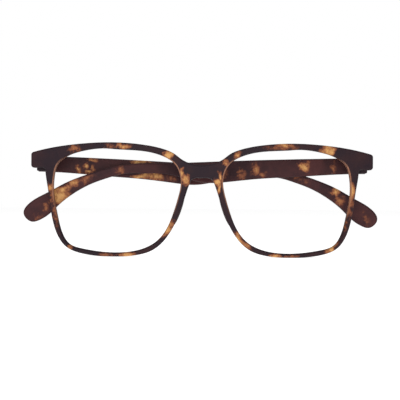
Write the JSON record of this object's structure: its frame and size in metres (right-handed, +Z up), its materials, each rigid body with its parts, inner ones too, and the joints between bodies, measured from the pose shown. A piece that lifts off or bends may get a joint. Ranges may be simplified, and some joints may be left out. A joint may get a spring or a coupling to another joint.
{
  "type": "eyeglasses frame",
  "caption": "Rectangular plastic spectacle frame in dark tortoiseshell with open rims and folding temples on barrel hinges.",
  "frame": {"origin": "boxing centre of the front: half-way between the rims, on the lens datum line, on the back face of the bridge", "axes": "+X along the front, +Y backwards from the front towards the wearer's head, +Z up as worn"},
  "size_m": [0.1467, 0.0207, 0.0463],
  "materials": {
    "tortoise_plastic": "matte",
    "pad_plastic": "satin",
    "hinge_metal": "satin",
    "screw_metal": "polished"
  },
  "bodies": {
    "front": {"front": "tortoise_plastic", "nose_pad_right": "pad_plastic", "nose_pad_left": "pad_plastic", "hinge_front_right": "hinge_metal", "hinge_front_left": "hinge_metal", "hinge_screws": "screw_metal"},
    "temple_right": {"temple_right": "tortoise_plastic", "hinge_temple_right": "hinge_metal"},
    "temple_left": {"temple_left": "tortoise_plastic", "hinge_temple_left": "hinge_metal"}
  },
  "joints": [
    {"name": "temple_left_hinge", "type": "hinge", "parent": "front", "child": "temple_left", "pos_m": [-0.0656, 0.01005, 0.01515], "axis": [0, 0, 1], "range_deg": [0, 88]},
    {"name": "temple_right_hinge", "type": "hinge", "parent": "front", "child": "temple_right", "pos_m": [0.0656, 0.01005, 0.01515], "axis": [0, 0, -1], "range_deg": [0, 91.1]}
  ]
}
